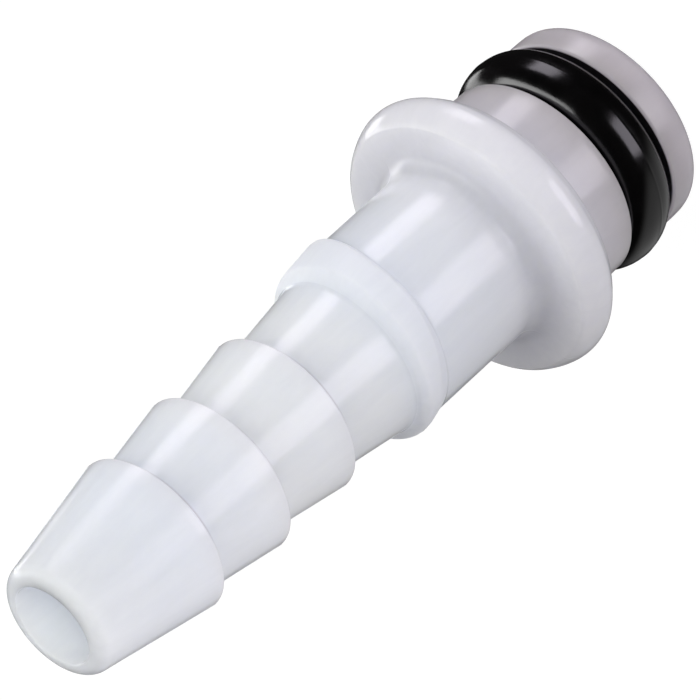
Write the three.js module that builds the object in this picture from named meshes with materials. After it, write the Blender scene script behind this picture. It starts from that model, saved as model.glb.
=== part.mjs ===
// Plug-in hull fitting: a one-piece moulded body (barbed hose tail, hose-stop band,
// neck, flange, plug nose with a ring groove and a bore right through) and the
// rubber O-ring that seals the nose. Millimetres. +Z runs along the axis from the
// plug nose to the hose tail; the nose end face lies on z = 0.

import * as THREE from 'three';
import { mergeVertices } from 'three/addons/utils/BufferGeometryUtils.js';

// ---------------------------------------------------------------- driving sizes
const FACETS = 48;              // facets round the axis

const LENGTH = 67.8;            // nose end to hose-tail tip
const BORE_R = 3.6;             // bore, right through
const BORE_CHAMFER = 0.4;       // bore mouth at the nose end
const BORE_MOUTH = 0.06;        // broken edge of the bore at the tip

const TIP_ROUND = 1.28;         // rounded end of the hose tail
const TIP_CONE_R = 5.134;       // radius where the rounding meets the first taper
const TIP_CONE_Z = 66.75;

// Barbs: crest height, crest radius, radius just behind the crest
const BARBS = [
  { z: 56.10, r: 7.09, root: 5.94 },
  { z: 48.38, r: 7.18, root: 5.92 },
  { z: 40.66, r: 7.20, root: 6.09 },
];
const BARB_EDGE = 0.12;         // broken crest edge
const BARB_BACK = 0.17;         // run of the back face

const NECK_R = 7.79;
const NECK_FILLET = 1.56;       // where the neck meets the flange

// Hose-stop band. Its front edge is almost square to the axis; its rear edge is
// slanted, so the band is wide on the +X side and narrow on the -X side.
const BAND_FOOT_Z = 33.29, BAND_FOOT_R = 7.06;      // where the last taper meets it
const BAND_FRONT_Z = 32.43, BAND_FRONT_R = 8.07;
const BAND_REAR_R = 8.27;
const BAND_SKEW = { footR: -0.10, frontZ: -0.26, frontR: -0.125, rearR: 0.08 };
// heights of the rear crest and of its foot on the neck, every 30 degrees from +X
const BAND_REAR_Z = [28.44, 28.78, 29.56, 30.43, 31.21, 31.86, 32.04, 31.65, 30.87, 30.26, 29.95, 29.13];
const BAND_HEEL_Z = [28.09, 28.35, 29.04, 29.65, 30.00, 30.21, 30.26, 30.13, 29.91, 29.74, 29.56, 28.78];

// Flange
const FLANGE_FRONT_Z = 18.47;
const FLANGE_REAR_Z = 14.57;
const FLANGE_R = 12.5;
// rim section from the front face to the rear face: [z, r]
const FLANGE_RIM = [
  [18.47, 11.42], [18.30, 11.68], [18.08, 11.87], [17.71, 12.08], [17.25, 12.29],
  [16.73, 12.45], [16.26, FLANGE_R], [15.87, 12.45], [15.48, 12.29], [15.09, 12.00],
  [14.67, 11.66], [14.57, 11.52],
];
const SEAT_FILLET = 0.30;       // rear face to nose

// Plug nose
const NOSE_R = 9.20;
const GROOVE_TOP_Z = 8.96;      // flange-side wall of the groove
const GROOVE_LOW_Z = 3.50;      // end-side wall of the groove
const GROOVE_R = 4.55;          // floor of the groove
const GROOVE_EDGE = 0.12;       // broken edges of the groove
const NOSE_ROUND = 1.78;        // rounded lead-in at the nose end

// O-ring, as fitted
const RING_Z = 6.23;
const RING_OUTER_R = 10.0;
const RING_SECTION = 5.32;

// ---------------------------------------------------------------- helpers
const DEG = Math.PI / 180;

// Arc of a section from angle a0 to a1 (degrees, from +r towards +z), ends included.
function arc(cz, cr, rho, a0, a1, steps) {
  const out = [];
  for (let i = 0; i <= steps; i++) {
    const a = (a0 + (a1 - a0) * i / steps) * DEG;
    out.push([cz + rho * Math.sin(a), cr + rho * Math.cos(a)]);
  }
  return out;
}

// Smooth closed curve through values given at equal angles.
function around(values, phi) {
  const n = values.length;
  const u = ((phi / (2 * Math.PI)) % 1 + 1) % 1 * n;
  const i = Math.floor(u), f = u - i;
  const v = (k) => values[((i + k) % n + n) % n];
  const m0 = (v(1) - v(-1)) / 2, m1 = (v(2) - v(0)) / 2;
  const f2 = f * f, f3 = f2 * f;
  return (2 * f3 - 3 * f2 + 1) * v(0) + (f3 - 2 * f2 + f) * m0
    + (-2 * f3 + 3 * f2) * v(1) + (f3 - f2) * m1;
}

// A closed section [z, r], turned about the axis. Entries may carry a function that
// gives [z, r] at each angle round the axis instead of one fixed point.
function turned(section, facets) {
  const at = (p, phi) => (typeof p === 'function' ? p(phi) : p);
  const loop = [...section, section[0]];
  const flat = loop.map((p) => { const [z, r] = at(p, 0); return new THREE.Vector2(r, z); });
  const geo = new THREE.LatheGeometry(flat, facets);
  const pos = geo.attributes.position;
  const n = loop.length;
  for (let i = 0; i <= facets; i++) {
    const phi = (i % facets) / facets * 2 * Math.PI;
    const c = Math.cos(phi), s = Math.sin(phi);
    for (let j = 0; j < n; j++) {
      const [z, r] = at(loop[j], phi);
      pos.setXYZ(i * n + j, r * c, r * s, z);
    }
  }
  geo.deleteAttribute('normal');
  geo.deleteAttribute('uv');
  const merged = mergeVertices(geo, 1e-5);
  // faces point out of the solid
  const p = merged.attributes.position, ix = merged.index.array;
  let vol = 0;
  const a = new THREE.Vector3(), b = new THREE.Vector3(), d = new THREE.Vector3();
  for (let k = 0; k < ix.length; k += 3) {
    a.fromBufferAttribute(p, ix[k]); b.fromBufferAttribute(p, ix[k + 1]); d.fromBufferAttribute(p, ix[k + 2]);
    vol += a.dot(b.cross(d));
  }
  if (vol < 0) {
    for (let k = 0; k < ix.length; k += 3) { const t = ix[k]; ix[k] = ix[k + 1]; ix[k + 1] = t; }
  }
  merged.computeVertexNormals();
  return merged;
}

// ---------------------------------------------------------------- fitting body
const section = [];

// nose end face and its rounded lead-in
section.push([0, BORE_R + BORE_CHAMFER]);
section.push(...arc(NOSE_ROUND, NOSE_R - NOSE_ROUND, NOSE_ROUND, -90, 0, 5));

// O-ring groove
section.push([GROOVE_LOW_Z - GROOVE_EDGE, NOSE_R], [GROOVE_LOW_Z, NOSE_R - GROOVE_EDGE],
  [GROOVE_LOW_Z, GROOVE_R], [GROOVE_TOP_Z, GROOVE_R],
  [GROOVE_TOP_Z, NOSE_R - GROOVE_EDGE], [GROOVE_TOP_Z + GROOVE_EDGE, NOSE_R]);

// nose barrel up to the flange seat
section.push([FLANGE_REAR_Z - SEAT_FILLET, NOSE_R], [FLANGE_REAR_Z, NOSE_R + SEAT_FILLET]);

// flange rim, rear to front
section.push(...[...FLANGE_RIM].reverse());

// neck fillet and neck
section.push(...arc(FLANGE_FRONT_Z + NECK_FILLET, NECK_R + NECK_FILLET, NECK_FILLET, 270, 180, 4));

// hose-stop band, rear to front
section.push((phi) => [around(BAND_HEEL_Z, phi), NECK_R]);
section.push((phi) => [around(BAND_REAR_Z, phi), BAND_REAR_R + BAND_SKEW.rearR * Math.cos(phi)]);
section.push((phi) => [BAND_FRONT_Z + BAND_SKEW.frontZ * Math.cos(phi), BAND_FRONT_R + BAND_SKEW.frontR * Math.cos(phi)]);
section.push((phi) => [BAND_FOOT_Z, BAND_FOOT_R + BAND_SKEW.footR * Math.cos(phi)]);

// barbs, from the flange side to the tip
for (const b of [...BARBS].reverse()) {
  section.push([b.z - BARB_BACK, b.root], [b.z - 0.02, b.r - BARB_EDGE], [b.z + BARB_EDGE, b.r]);
}

// first taper and rounded tip
section.push([TIP_CONE_Z, TIP_CONE_R]);
section.push(...arc(LENGTH - TIP_ROUND, TIP_CONE_R - TIP_ROUND * Math.cos(10.2 * DEG), TIP_ROUND, 10.2, 90, 4).slice(1));

// bore, from the tip back to the nose end
section.push([LENGTH, BORE_R + BORE_MOUTH], [LENGTH - BORE_MOUTH, BORE_R], [BORE_CHAMFER, BORE_R]);

const plastic = new THREE.MeshStandardMaterial({ color: 0xdfe3e8, roughness: 0.3, metalness: 0 });
const rubber = new THREE.MeshStandardMaterial({ color: 0x0b0b0c, roughness: 0.35, metalness: 0 });

const body = new THREE.Mesh(turned(section, FACETS), plastic);
body.name = 'fitting_body';

// ---------------------------------------------------------------- O-ring
const ringRho = RING_SECTION / 2;
const ringSection = [];
for (let i = 0; i < 16; i++) {
  const a = i / 16 * 2 * Math.PI;
  ringSection.push([RING_Z + ringRho * Math.sin(a), RING_OUTER_R - ringRho + ringRho * Math.cos(a)]);
}
const ring = new THREE.Mesh(turned(ringSection, FACETS), rubber);
ring.name = 'o_ring';

const group = new THREE.Group();
group.name = 'thru_hull_fitting';
group.add(body, ring);

export default group;
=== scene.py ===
"""Looks of the plug-in hull fitting: a glossy, slightly translucent moulded body and its rubber O-ring.

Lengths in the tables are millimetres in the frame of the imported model: +Z runs from the
plug nose (z = 0) to the tip of the hose tail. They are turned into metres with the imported
model's own length, so the pieces sit exactly where the model has them.
"""

import math

import bpy
import numpy as np
from mathutils import Matrix, Vector


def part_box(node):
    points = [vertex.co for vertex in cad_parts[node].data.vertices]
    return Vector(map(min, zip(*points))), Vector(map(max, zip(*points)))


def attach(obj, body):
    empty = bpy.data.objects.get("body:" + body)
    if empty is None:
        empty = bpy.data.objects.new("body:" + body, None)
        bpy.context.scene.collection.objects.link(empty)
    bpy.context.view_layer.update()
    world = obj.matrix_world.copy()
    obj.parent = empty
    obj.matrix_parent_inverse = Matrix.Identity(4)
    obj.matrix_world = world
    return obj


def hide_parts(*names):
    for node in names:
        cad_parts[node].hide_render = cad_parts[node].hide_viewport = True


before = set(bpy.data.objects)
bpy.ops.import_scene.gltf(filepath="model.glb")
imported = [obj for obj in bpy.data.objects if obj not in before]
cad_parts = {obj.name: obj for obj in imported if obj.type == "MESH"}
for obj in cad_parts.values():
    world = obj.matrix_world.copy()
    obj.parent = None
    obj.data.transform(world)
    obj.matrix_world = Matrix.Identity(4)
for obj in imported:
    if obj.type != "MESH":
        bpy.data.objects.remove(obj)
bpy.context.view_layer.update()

# ------------------------------------------------------------------ frame of the part
LENGTH = 67.8
body_lo, body_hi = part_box("fitting_body")
ring_lo, ring_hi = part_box("o_ring")
UNIT = (body_hi.z - body_lo.z) / LENGTH          # metres in one millimetre of the part
BASE = body_lo.z
AXIS_X = (body_lo.x + body_hi.x) / 2
AXIS_Y = (body_lo.y + body_hi.y) / 2
FLANGE_R = (body_hi.x - body_lo.x) / 2 / UNIT
RING_OUTER_R = (ring_hi.x - ring_lo.x) / 2 / UNIT
RING_Z = ((ring_lo.z + ring_hi.z) / 2 - BASE) / UNIT
RING_SECTION = (ring_hi.z - ring_lo.z) / UNIT

# ------------------------------------------------------------------ section helpers


def around(values, phi):
    """Smooth closed curve through values given at equal angles."""
    v = np.asarray(values, float)
    n = len(v)
    u = (phi / (2 * np.pi)) % 1 * n
    i = np.floor(u).astype(int) % n
    f = u - np.floor(u)
    g = lambda k: v[(i + k) % n]
    m0, m1 = (g(1) - g(-1)) / 2, (g(2) - g(0)) / 2
    return ((2 * f**3 - 3 * f**2 + 1) * g(0) + (f**3 - 2 * f**2 + f) * m0
            + (-2 * f**3 + 3 * f**2) * g(1) + (f**3 - f**2) * m1)


def azimuths(n, seams=(0.0, math.pi), fine=0.030, m=12):
    """Equal steps round the axis, with extra ones at the mould's parting line."""
    a = list(np.arange(n) / n * 2 * math.pi)
    for s in seams:
        a = [x for x in a if abs((x - s + math.pi) % (2 * math.pi) - math.pi) > fine + 0.004]
        a += [(s + fine * k / m) % (2 * math.pi) for k in range(-m, m + 1)]
    return np.array(sorted(a))


def rounded(corners, phi, longest):
    """A closed section whose corners are (z, r, fillet radius, steps), z and r numbers or arrays
    over phi. Every corner becomes an arc of that radius, and straight runs are cut to `longest`."""
    n, k = len(corners), len(phi)
    P = np.zeros((n, k, 2))
    for j, (z, r, _, _) in enumerate(corners):
        P[j, :, 0], P[j, :, 1] = z, r
    rows, starts, ends = [], [], []
    for j, (_, _, rho, steps) in enumerate(corners):
        p, a, b = P[j], P[j - 1], P[(j + 1) % n]
        da, db = a - p, b - p
        la, lb = np.linalg.norm(da, axis=1), np.linalg.norm(db, axis=1)
        if rho <= 0:
            rows.append([p])
            continue
        ua, ub = da / la[:, None], db / lb[:, None]
        half = np.arccos(np.clip((ua * ub).sum(1), -1, 1)) / 2      # half the inside angle
        t = np.minimum(rho / np.tan(half), 0.46 * np.minimum(la, lb))
        rr = t * np.tan(half)
        bis = ua + ub
        bis /= np.linalg.norm(bis, axis=1)[:, None]
        c = p + bis * (rr / np.sin(half))[:, None]
        s, e = p + ua * t[:, None] - c, p + ub * t[:, None] - c
        a0 = np.arctan2(s[:, 1], s[:, 0])
        sweep = (np.arctan2(e[:, 1], e[:, 0]) - a0 + np.pi) % (2 * np.pi) - np.pi
        arc = []
        for q in range(steps + 1):
            w = a0 + sweep * q / steps
            arc.append(c + np.stack([np.cos(w), np.sin(w)], 1) * rr[:, None])
        rows.append(arc)
    out = []
    for j in range(n):
        out += rows[j]
        s, e = rows[j][-1], rows[(j + 1) % n][0]
        cuts = int(np.ceil(np.linalg.norm(e - s, axis=1).max() / longest))
        out += [s + (e - s) * q / cuts for q in range(1, cuts)]
    return np.array(out)                                            # (points, azimuths, 2)


def smooth_run(points, sub):
    """Catmull-Rom through points, the first and last of which only give the end slopes."""
    p = np.asarray(points, float)
    out = []
    for i in range(1, len(p) - 2):
        a, b, c, d = p[i - 1], p[i], p[i + 1], p[i + 2]
        m0, m1 = (c - a) / 2, (d - b) / 2
        scale = np.linalg.norm(c - b)
        m0 = m0 / max(np.linalg.norm(m0), 1e-9) * scale
        m1 = m1 / max(np.linalg.norm(m1), 1e-9) * scale
        for q in range(sub):
            t = q / sub
            out.append((2 * t**3 - 3 * t**2 + 1) * b + (t**3 - 2 * t**2 + t) * m0
                       + (-2 * t**3 + 3 * t**2) * c + (t**3 - t**2) * m1)
    out.append(p[-2])
    return [tuple(x) for x in out]


def ripple(phi, z, seed, amount):
    """Slow, shallow unevenness of a moulded wall, always inwards."""
    rng = np.random.default_rng(seed)
    s = np.zeros(np.broadcast(phi, z).shape)
    for _ in range(14):
        k, w = rng.integers(1, 6), rng.uniform(0.05, 0.55)
        s = s + rng.uniform(0.3, 1.0) * np.sin(k * phi + w * z + rng.uniform(0, 6.28))
    return -amount * (0.5 + 0.5 * np.tanh(s / 2.2))


def make_mesh(name, ring_points, phi, closed=True):
    """ring_points: (points, azimuths, 2) of z, r in mm, section closed on itself."""
    n, k = ring_points.shape[:2]
    z, r = ring_points[..., 0], ring_points[..., 1]
    co = np.stack([AXIS_X + r * np.cos(phi) * UNIT, AXIS_Y + r * np.sin(phi) * UNIT, BASE + z * UNIT], -1)
    co = co.reshape(-1, 3)
    i, j = np.meshgrid(np.arange(n), np.arange(k), indexing="ij")
    i2, j2 = (i + 1) % n, (j + 1) % k
    quads = np.stack([i * k + j, i * k + j2, i2 * k + j2, i2 * k + j], -1).reshape(-1, 4)
    a, b, c = co[quads[:, 0]], co[quads[:, 1]], co[quads[:, 2]]
    if (np.einsum("ij,ij->i", a, np.cross(b, c))).sum() < 0:
        quads = quads[:, ::-1]
    me = bpy.data.meshes.new(name)
    me.from_pydata(co.tolist(), [], quads.tolist())
    me.validate()
    me.polygons.foreach_set("use_smooth", [True] * len(me.polygons))
    me.update()
    ob = bpy.data.objects.new(name, me)
    bpy.context.scene.collection.objects.link(ob)
    return ob


# ------------------------------------------------------------------ fitting body
phi = azimuths(232)
cosphi = np.cos(phi)

NOSE_R, GROOVE_R, GROOVE_LOW, GROOVE_TOP = 9.20, 4.55, 3.50, 8.96
SEAT_Z, FRONT_Z, NECK_R, BORE_R = 14.57, 18.47, 7.79, 3.6
RIM = [(14.57, 10.9), (14.57, 11.52), (14.67, 11.66), (15.09, 12.00), (15.48, 12.29), (15.87, 12.45),
       (16.26, 12.5), (16.73, 12.45), (17.25, 12.29), (17.71, 12.08), (18.08, 11.87), (18.30, 11.68),
       (18.47, 11.42), (18.47, 10.8)]
BARBS = [(56.10, 7.09, 5.94), (48.38, 7.18, 5.92), (40.66, 7.20, 6.09)]
REAR_Z = [28.44, 28.78, 29.56, 30.43, 31.21, 31.86, 32.04, 31.65, 30.87, 30.26, 29.95, 29.13]
HEEL_Z = [28.09, 28.35, 29.04, 29.65, 30.00, 30.21, 30.26, 30.13, 29.91, 29.74, 29.56, 28.78]

corners = [
    (0.0, BORE_R + 0.40, 0.10, 3),
    (0.0, NOSE_R, 1.78, 14),
    (GROOVE_LOW, NOSE_R, 0.16, 5),
    (GROOVE_LOW, GROOVE_R, 0.25, 4),
    (GROOVE_TOP, GROOVE_R, 0.25, 4),
    (GROOVE_TOP, NOSE_R, 0.16, 5),
    (SEAT_Z, NOSE_R, 0.30, 5),
]
corners += [(z, min(r, FLANGE_R), 0, 0) for z, r in smooth_run(RIM, 4)]
corners += [
    (FRONT_Z, NECK_R, 1.56, 12),
    (around(HEEL_Z, phi), NECK_R, 0.50, 6),
    (around(REAR_Z, phi), 8.27 + 0.08 * cosphi, 0.42, 7),
    (32.43 - 0.26 * cosphi, 8.07 - 0.125 * cosphi, 0.60, 8),
    (33.29, 7.06 - 0.10 * cosphi, 0.90, 7),
]
for z, r, root in reversed(BARBS):
    corners += [(z - 0.17, root, 0.22, 4), (z + 0.02, r - 0.0, 0.13, 5)]
TIP_ROUND, TIP_SLOPE = 1.28, math.radians(10.2)
for k in range(17):
    a = TIP_SLOPE + (math.pi / 2 - TIP_SLOPE) * k / 16
    corners.append((LENGTH - TIP_ROUND * (1 - math.sin(a)), 5.134 - TIP_ROUND * (math.cos(TIP_SLOPE) - math.cos(a)), 0, 0))
corners += [
    (LENGTH, BORE_R, 0.25, 5),
    (0.40, BORE_R, 0.10, 3),
]
sec = rounded(corners, phi, longest=0.75)
Z, R = sec[..., 0], sec[..., 1]

# shallow unevenness everywhere except the seat, the groove and the ends
calm = np.clip((Z - 19.5) / 2, 0, 1) * np.clip((LENGTH - 0.5 - Z) / 2, 0, 1) * (R > 4.3)
nose = np.clip((Z - 9.3) / 1, 0, 1) * np.clip((14.0 - Z) / 1, 0, 1) * (R > 8.5)
R = R + ripple(phi[None, :], Z, 11, 0.020) * np.clip(calm + nose, 0, 1)

# the mould's parting line: a fine ridge down both sides, dressed off the rim, groove and tip
seam = np.zeros_like(R)
for s in (0.0, math.pi):
    off = ((phi - s + math.pi) % (2 * math.pi) - math.pi)[None, :] * R
    seam = seam + np.exp(-((off / 0.075) ** 2))
where = (R > 4.4) * np.clip((12.2 - R) / 0.3, 0, 1) * np.clip((66.2 - Z) / 1.5, 0, 1) * np.clip((Z - 1.2) / 1, 0, 1)
where = where * ((Z > GROOVE_TOP + 0.3) | (Z < GROOVE_LOW - 0.3))
R = R + 0.030 * seam * where
body = make_mesh("moulded_body", np.stack([Z, R], -1), phi)

# ------------------------------------------------------------------ O-ring
phi_r = np.arange(240) / 240 * 2 * np.pi
near = np.arange(-5, 6) * 0.014                                  # finer steps at the flash line
t = np.concatenate([near, np.linspace(near[-1], math.pi + near[0], 34)[1:-1],
                    math.pi + near, np.linspace(math.pi + near[-1], 2 * math.pi + near[0], 34)[1:-1]])
m = len(t)
half = RING_SECTION / 2
power = 2 / 2.15
cs, sn = np.cos(t), np.sin(t)
rr = RING_OUTER_R - half + half * np.sign(cs) * np.abs(cs) ** power
zz = RING_Z + half * np.sign(sn) * np.abs(sn) ** power
sec_r = np.stack([np.repeat(zz[:, None], len(phi_r), 1), np.repeat(rr[:, None], len(phi_r), 1)], -1)
inward = ripple(phi_r[None, :] * np.ones((m, 1)), np.repeat((t * 3)[:, None], len(phi_r), 1), 5, 0.018)
sec_r[..., 1] += inward * cs[:, None]
sec_r[..., 0] += inward * sn[:, None]
# the ring's flash line: a fine ridge where its mould halves met
for k in range(m):
    for mid in (0.0, math.pi):
        off = abs((t[k] - mid + math.pi) % (2 * math.pi) - math.pi) * half
        sec_r[k, :, 1] += 0.022 * math.exp(-((off / 0.085) ** 2)) * math.copysign(1.0, cs[k])
oring = make_mesh("rubber_o_ring", sec_r, phi_r)

# ------------------------------------------------------------------ materials


def principled(name):
    mat = bpy.data.materials.new(name)
    mat.use_nodes = True
    nt = mat.node_tree
    nt.nodes.clear()
    out = nt.nodes.new("ShaderNodeOutputMaterial")
    sh = nt.nodes.new("ShaderNodeBsdfPrincipled")
    nt.links.new(sh.outputs["BSDF"], out.inputs["Surface"])
    return mat, nt, sh


def node(nt, kind, **values):
    n = nt.nodes.new(kind)
    for k, v in values.items():
        if k in n.inputs:
            n.inputs[k].default_value = v
        else:
            setattr(n, k, v)
    return n


def object_space(nt, scale=(1, 1, 1)):
    tc = nt.nodes.new("ShaderNodeTexCoord")
    mp = nt.nodes.new("ShaderNodeMapping")
    mp.inputs["Scale"].default_value = scale
    nt.links.new(tc.outputs["Object"], mp.inputs["Vector"])
    return mp.outputs["Vector"]


def ramp(nt, fac, stops, kind="LINEAR"):
    n = nt.nodes.new("ShaderNodeValToRGB")
    n.color_ramp.interpolation = kind
    el = n.color_ramp.elements
    while len(el) < len(stops):
        el.new(0.5)
    for e, (pos, col) in zip(el, stops):
        e.position = pos
        e.color = (*col, 1)
    nt.links.new(fac, n.inputs["Fac"])
    return n.outputs["Color"]


def noise(nt, vec, scale, detail=3, rough=0.5, dist=0.0):
    n = node(nt, "ShaderNodeTexNoise", Scale=scale, Detail=detail, Roughness=rough, Distortion=dist)
    nt.links.new(vec, n.inputs["Vector"])
    return n.outputs["Fac"]


def math_node(nt, op, a, b=None, clamp=False):
    n = nt.nodes.new("ShaderNodeMath")
    n.operation = op
    n.use_clamp = clamp
    for s, v in zip(n.inputs, (a, b)):
        if v is None:
            continue
        if isinstance(v, (int, float)):
            s.default_value = v
        else:
            nt.links.new(v, s)
    return n.outputs[0]


def map_range(nt, v, a, b, c, d, smooth=False):
    n = nt.nodes.new("ShaderNodeMapRange")
    if smooth:
        n.interpolation_type = "SMOOTHSTEP"
    nt.links.new(v, n.inputs["Value"])
    for key, x in zip(("From Min", "From Max", "To Min", "To Max"), (a, b, c, d)):
        n.inputs[key].default_value = x
    return n.outputs["Result"]


def mix(nt, fac, a, b, kind="MIX"):
    n = nt.nodes.new("ShaderNodeMix")
    n.data_type = "RGBA"
    n.blend_type = kind
    for key, v in (("Factor", fac), ("A", a), ("B", b)):
        s = [i for i in n.inputs if i.name == key and i.type == ("VALUE" if key == "Factor" else "RGBA")][0]
        if isinstance(v, (int, float)):
            s.default_value = v
        elif isinstance(v, tuple):
            s.default_value = (*v, 1)
        else:
            nt.links.new(v, s)
    return [o for o in n.outputs if o.type == "RGBA"][0]


# painted shade: tint along the axis, from 36 mm down to 3 mm above the nose end, greyer and darker towards the nose
NOSE_SHADE_TONES = [(0.0, (1.0, 1.0, 1.0)), (0.364, (1.0, 0.982, 0.944)), (0.533, (1.0, 0.945, 0.903)), (0.636, (0.965, 0.918, 0.868)),
         (0.727, (0.838, 0.770, 0.733)), (0.818, (0.786, 0.702, 0.669)), (0.98, (0.674, 0.598, 0.564))]

# Natural moulded plastic: bluish white, faintly cloudy, glossy, with flow marks along the axis
plastic, nt, sh = principled("natural_moulded_plastic")
here = object_space(nt)
flow = object_space(nt, (1.0, 1.0, 0.16))
cloud = noise(nt, here, 70 / 1.0, 3, 0.55)
streak = noise(nt, flow, 900, 4, 0.6, 0.6)
base = ramp(nt, cloud, [(0.30, (0.754, 0.803, 0.882)), (0.55, (0.773, 0.820, 0.900)), (0.75, (0.790, 0.835, 0.911))], "EASE")
fine = ramp(nt, streak, [(0.30, (0.965, 0.965, 0.970)), (0.70, (1.0, 1.0, 1.0))], "EASE")
tone = mix(nt, 0.8, base, fine, "MULTIPLY")
sep = nt.nodes.new("ShaderNodeSeparateXYZ")
nt.links.new(here, sep.inputs[0])
height_up = sep.outputs["Z"]
dx = math_node(nt, "SUBTRACT", sep.outputs["X"], AXIS_X)
dy = math_node(nt, "SUBTRACT", sep.outputs["Y"], AXIS_Y)
off_axis = math_node(nt, "SQRT", math_node(nt, "ADD", math_node(nt, "MULTIPLY", dx, dx), math_node(nt, "MULTIPLY", dy, dy)))


def between(value, lo, hi, soft):
    """1 where a length in millimetres lies between lo and hi, 0 outside, soft at both ends."""
    up = map_range(nt, value, (lo - soft) * UNIT, (lo + soft) * UNIT, 0.0, 1.0, True)
    down = map_range(nt, value, (hi - soft) * UNIT, (hi + soft) * UNIT, 1.0, 0.0, True)
    return math_node(nt, "MULTIPLY", up, down)


above = math_node(nt, "SUBTRACT", height_up, BASE)
# painted shade: the plastic is made greyer, warmer and darker towards the nose, standing in for the shade that
# falls on it behind the flange
towards_nose = map_range(nt, above, 36.0 * UNIT, 3.0 * UNIT, 0.0, 1.0)
painted_nose_shade = ramp(nt, towards_nose, NOSE_SHADE_TONES)
# painted light: the tail is made a little paler between the hose stop and the last barb
tail_painted_light = map_range(nt, between(above, 34.0, 50.5, 3.0), 0.0, 1.0, 1.0, 1.065)
# painted shade: the plastic in the O-ring groove is made near black, where the ring's shade falls
groove_painted_shade = math_node(nt, "MULTIPLY", between(above, 3.42, 9.04, 0.05), between(off_axis, 4.1, 8.95, 0.12))
# painted shade in the corner behind each barb
corner = None
for z, r, root in BARBS:
    here_too = math_node(nt, "MULTIPLY", between(above, z - 0.62, z - 0.10, 0.14), between(off_axis, 4.5, root + 0.22, 0.10))
    corner = here_too if corner is None else math_node(nt, "ADD", corner, here_too)
clear = mix(nt, 1.0, mix(nt, 1.0, tone, painted_nose_shade, "MULTIPLY"), tail_painted_light, "MULTIPLY")
body_tone = mix(nt, math_node(nt, "MULTIPLY", corner, 0.75), clear, (0.45, 0.43, 0.46))
# the groove's painted shade goes over the body colour here
colour = mix(nt, groove_painted_shade, body_tone, (0.012, 0.011, 0.012))
nt.links.new(colour, sh.inputs["Base Color"])
smudge = noise(nt, here, 260, 2, 0.5)
# the band is faintly textured, and the nose is a little duller than the tail
band = math_node(nt, "MULTIPLY", between(above, 27.4, 33.3, 0.15), between(off_axis, 7.90, 9.0, 0.06))
step = math_node(nt, "MULTIPLY", between(above, 31.9, 33.3, 0.10), between(off_axis, 7.15, 7.95, 0.06))
dull = math_node(nt, "ADD", math_node(nt, "MULTIPLY", math_node(nt, "MAXIMUM", band, step), 0.38),
                 map_range(nt, above, 10.0 * UNIT, 3.0 * UNIT, 0.03, 0.045))
gloss = map_range(nt, smudge, 0.2, 0.8, 0.12, 0.22, True)
nt.links.new(math_node(nt, "ADD", gloss, dull), sh.inputs["Roughness"])
sh.inputs["IOR"].default_value = 1.49
sh.inputs["Subsurface Weight"].default_value = 1.0
sh.inputs["Subsurface Radius"].default_value = (1.0, 1.0, 1.1)
sh.inputs["Subsurface Scale"].default_value = 0.0065
fine_b = noise(nt, here, 5200, 3, 0.6)
slow_b = noise(nt, flow, 480, 3, 0.5, 0.4)
height = math_node(nt, "ADD", math_node(nt, "MULTIPLY", fine_b, 0.15), slow_b)
bump = node(nt, "ShaderNodeBump", Strength=0.10, Distance=0.00006)
nt.links.new(height, bump.inputs["Height"])
nt.links.new(bump.outputs["Normal"], sh.inputs["Normal"])
body.data.materials.append(plastic)

# Black rubber, lightly greased
rubber, nt, sh = principled("black_ring_rubber")
here = object_space(nt)
blotch = noise(nt, here, 420, 4, 0.6)
nt.links.new(ramp(nt, blotch, [(0.3, (0.0008, 0.0007, 0.0008)), (0.75, (0.0026, 0.0023, 0.0025))]), sh.inputs["Base Color"])
nt.links.new(map_range(nt, noise(nt, here, 700, 4, 0.65), 0.3, 0.75, 0.13, 0.22), sh.inputs["Roughness"])
sh.inputs["IOR"].default_value = 1.50
grain = noise(nt, here, 9000, 2, 0.6)
bump = node(nt, "ShaderNodeBump", Strength=0.12, Distance=0.00003)
nt.links.new(grain, bump.inputs["Height"])
nt.links.new(bump.outputs["Normal"], sh.inputs["Normal"])
oring.data.materials.append(rubber)

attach(body, "root")
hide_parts("fitting_body")
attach(oring, "root")
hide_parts("o_ring")

# ------------------------------------------------------------------ camera
CAM_EL, CAM_ROLL = math.radians(31.0), math.radians(132.4)
PX_PER_MM, CENTRE_PX, DIST = 12.98, (339.6, 363.6), 0.555
d = Vector((0, -math.cos(CAM_EL), math.sin(CAM_EL)))
up0 = Vector((0, math.sin(CAM_EL), math.cos(CAM_EL)))
rt0 = Vector((1, 0, 0))
right = rt0 * math.cos(CAM_ROLL) - up0 * math.sin(CAM_ROLL)
up = rt0 * math.sin(CAM_ROLL) + up0 * math.cos(CAM_ROLL)
middle = Vector((AXIS_X, AXIS_Y, BASE + LENGTH / 2 * UNIT))
aim = middle + right * ((350 - CENTRE_PX[0]) / PX_PER_MM * UNIT) + up * ((CENTRE_PX[1] - 350) / PX_PER_MM * UNIT)
cam_data = bpy.data.cameras.new("camera")
cam_data.sensor_width = 36
cam_data.lens = 36 * DIST / (700 / PX_PER_MM * UNIT)
cam_data.clip_start, cam_data.clip_end = 0.01, 50
cam = bpy.data.objects.new("camera", cam_data)
cam.matrix_world = Matrix((
    (right.x, up.x, d.x, aim.x + d.x * DIST),
    (right.y, up.y, d.y, aim.y + d.y * DIST),
    (right.z, up.z, d.z, aim.z + d.z * DIST),
    (0, 0, 0, 1)))
bpy.context.scene.collection.objects.link(cam)
bpy.context.scene.camera = cam

# ------------------------------------------------------------------ light and floor


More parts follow.
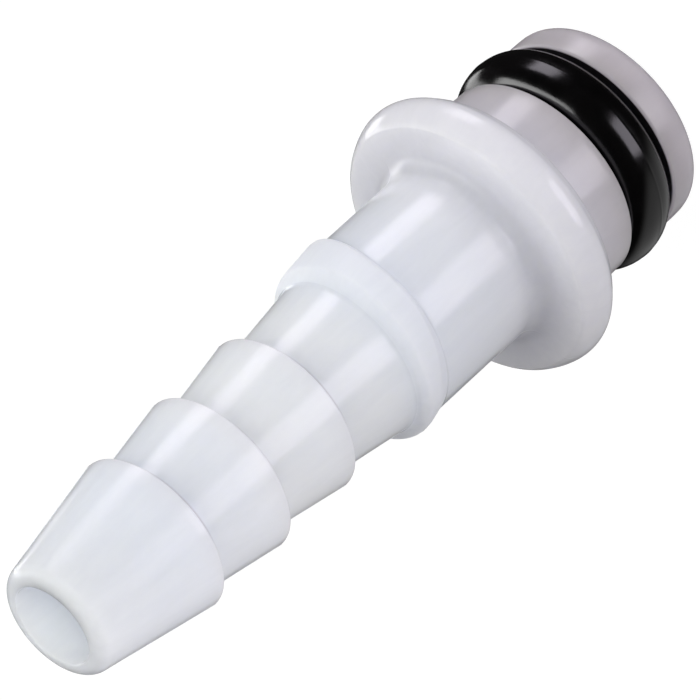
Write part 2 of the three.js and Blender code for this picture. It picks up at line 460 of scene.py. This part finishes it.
def softbox(name, direction, distance, width, height, radiance, colour=(1, 1, 1), tall=None):
    """A rectangular soft light aimed at the middle of the part. `tall` is the way its height runs."""
    data = bpy.data.lights.new(name, "AREA")
    data.shape = "RECTANGLE"
    data.size, data.size_y = width, height
    data.energy = radiance * math.pi * width * height
    data.color = colour
    o = bpy.data.objects.new(name, data)
    z = Vector(direction).normalized()
    y = Vector(tall or (0, 0, 1))
    y = (y - z * y.dot(z)).normalized()
    x = y.cross(z)
    p = middle + z * distance
    o.matrix_world = Matrix(((x.x, y.x, z.x, p.x), (x.y, y.y, z.y, p.y), (x.z, y.z, z.z, p.z), (0, 0, 0, 1)))
    bpy.context.scene.collection.objects.link(o)
    return o


def mirror_way(theta, beta=0.0):
    """Where a wall whose normal stands at theta from the near side (beta up towards the tip)
    shows the camera its reflection from."""
    n = Vector((-math.sin(theta) * math.cos(beta), -math.cos(theta) * math.cos(beta), math.sin(beta)))
    return 2 * n.dot(d) * n - d


LAMP = (0.95, 0.90, 1.0)
BOX_A = (mirror_way(math.radians(-37.0), math.radians(4.2)), 0.45, 0.185, 0.25, 3.9, LAMP)
BOX_B = (mirror_way(math.radians(11.5), math.radians(4.2)), 0.45, 0.275, 0.25, 3.5, LAMP)
BOX_C = ((0.64, 0.04, 0.77), 0.45, 0.14, 0.56, 1.4, (1, 1, 1), (0.42, 0.89, -0.49))
BOX_BACK = ((0.62, 0.76, 0.12), 0.45, 0.11, 0.42, 2.5)
BACKS = [((0.10, 0.99, 0.02), 0.90), ((-0.32, 0.92, -0.20), 1.60)]
LIGHTS = [
    ("softbox_a", *BOX_A),
    ("softbox_b", *BOX_B),
    ("softbox_c", *BOX_C),
    ("softbox_back", *BOX_BACK),
]
for entry in LIGHTS:
    softbox(*entry)
# fills: they light the walls but leave no mirror image on the gloss
FILLS = [
    ((0.24, -0.45, 0.86), 1.26),
    ((0.71, -0.12, 0.69), 1.24),
    ((0.68, -0.61, 0.42), 1.06),
    ((-0.57, -0.76, 0.31), 0.68),
    ((-0.94, -0.35, 0.03), 0.34),
]
for i, (way, power) in enumerate(FILLS + BACKS):
    softbox("fill_%d" % (i + 1), way, 0.22, 0.15, 0.15, power).visible_glossy = False

# small fills close to the hose tail: place in millimetres from the nose end, way they shine, strength
NEAR = [
    ((-48.0, -12.0, 62.0), (0.94, 0.24, -0.24), 0.68),
    ((-42.0, -34.0, 68.0), (0.66, 0.53, 0.53), 0.24),
    ((-47.0, -14.0, 72.0), (0.80, 0.24, 0.55), 0.70),
]
for i, (place, out, power) in enumerate(NEAR):
    o = softbox("near_%d" % (i + 1), -Vector(out), 0.06, 0.05, 0.05, power, (1.0, 0.95, 0.98))
    o.location = middle + (Vector(place) - Vector((0, 0, LENGTH / 2))) * UNIT
    o.visible_glossy = False
    o.visible_camera = False

# a strip light that only the rubber ring shows, along its flange side
ring_only = bpy.data.collections.new("ring_only")
ring_only.objects.link(oring)
strip = softbox("ring_strip", (0.62, 0.02, 0.78), 0.45, 0.20, 0.56, 4.2, (1, 1, 1), (0.42, 0.89, -0.49))
strip.light_linking.receiver_collection = ring_only

# a small spot into the bore's mouth
mouth = Vector((AXIS_X, AXIS_Y, BASE + LENGTH * UNIT))
spot_data = bpy.data.lights.new("bore_spot", "SPOT")
spot_data.energy = 1.9
spot_data.shadow_soft_size = 0.002
spot_data.spot_size = 2 * math.atan(3.9 * UNIT / 0.30)
spot_data.spot_blend = 0.35
spot = bpy.data.objects.new("bore_spot", spot_data)
flat = 0.64
spot.matrix_world = Matrix((
    (rt0.x, up0.x * flat, d.x, mouth.x + d.x * 0.30),
    (rt0.y, up0.y * flat, d.y, mouth.y + d.y * 0.30),
    (rt0.z, up0.z * flat, d.z, mouth.z + d.z * 0.30),
    (0, 0, 0, 1)))
spot.visible_glossy = False
bpy.context.scene.collection.objects.link(spot)

world = bpy.data.worlds.new("studio")
bpy.context.scene.world = world
world.use_nodes = True
wt = world.node_tree
wt.nodes.clear()
w_out = wt.nodes.new("ShaderNodeOutputWorld")
w_seen, w_lit = wt.nodes.new("ShaderNodeBackground"), wt.nodes.new("ShaderNodeBackground")
w_seen.inputs["Color"].default_value = (1, 1, 1, 1)
w_seen.inputs["Strength"].default_value = 1.05
w_lit.inputs["Color"].default_value = (1, 1, 1, 1)
# what shines on the gloss besides the softboxes: a white backdrop on one side, dim elsewhere
w_shine = wt.nodes.new("ShaderNodeBackground")
w_dir = wt.nodes.new("ShaderNodeTexCoord")
w_dot = wt.nodes.new("ShaderNodeVectorMath")
w_dot.operation = "DOT_PRODUCT"
w_dot.inputs[1].default_value = Vector((-0.85, 0.25, -0.46)).normalized()
wt.links.new(w_dir.outputs["Generated"], w_dot.inputs[0])
glow = map_range(wt, w_dot.outputs["Value"], 0.62, 0.88, 0.015, 0.62, True)
wt.links.new(glow, w_shine.inputs["Strength"])
# and what lights the walls: an even room that is dimmer beyond the part's lower right side
w_dim = wt.nodes.new("ShaderNodeVectorMath")
w_dim.operation = "DOT_PRODUCT"
w_dim.inputs[1].default_value = Vector((-0.80, 0.48, 0.36)).normalized()
wt.links.new(w_dir.outputs["Generated"], w_dim.inputs[0])
wt.links.new(map_range(wt, w_dim.outputs["Value"], 0.10, 0.85, 0.28, 0.03, True), w_lit.inputs["Strength"])
w_path = wt.nodes.new("ShaderNodeLightPath")
w_mix, w_mix2 = wt.nodes.new("ShaderNodeMixShader"), wt.nodes.new("ShaderNodeMixShader")
wt.links.new(w_path.outputs["Is Glossy Ray"], w_mix2.inputs[0])
wt.links.new(w_lit.outputs[0], w_mix2.inputs[1])
wt.links.new(w_shine.outputs[0], w_mix2.inputs[2])
wt.links.new(w_path.outputs["Is Camera Ray"], w_mix.inputs[0])
wt.links.new(w_mix2.outputs[0], w_mix.inputs[1])
wt.links.new(w_seen.outputs[0], w_mix.inputs[2])
wt.links.new(w_mix.outputs[0], w_out.inputs["Surface"])

fm, fnt, fsh = principled("pale_floor")
fsh.inputs["Base Color"].default_value = (0.10, 0.10, 0.10, 1)
fsh.inputs["Roughness"].default_value = 0.9
fsh.inputs["Specular IOR Level"].default_value = 0.0
fsh.inputs["Emission Color"].default_value = (1, 1, 1, 1)
fsh.inputs["Emission Strength"].default_value = 0.97
back = fnt.nodes.new("ShaderNodeNewGeometry")
clear = fnt.nodes.new("ShaderNodeBsdfTransparent")
fmix = fnt.nodes.new("ShaderNodeMixShader")
fout = [n for n in fnt.nodes if n.type == "OUTPUT_MATERIAL"][0]
fnt.links.new(back.outputs["Backfacing"], fmix.inputs[0])
fnt.links.new(fsh.outputs[0], fmix.inputs[1])
fnt.links.new(clear.outputs[0], fmix.inputs[2])
fnt.links.new(fmix.outputs[0], fout.inputs["Surface"])
fme = bpy.data.meshes.new("floor")
S = 6.0
fz = BASE - 0.0001
fme.from_pydata([(-S, -S, fz), (S, -S, fz), (S, S, fz), (-S, S, fz)], [], [(0, 1, 2, 3)])
floor = bpy.data.objects.new("floor", fme)
bpy.context.scene.collection.objects.link(floor)
fme.materials.append(fm)
floor.visible_diffuse = False
floor.visible_glossy = False
floor.visible_transmission = False
floor.visible_shadow = False

sc = bpy.context.scene
sc.view_settings.view_transform = "Standard"
sc.view_settings.look = "None"
sc.view_settings.exposure = 0.0
sc.view_settings.gamma = 1.0
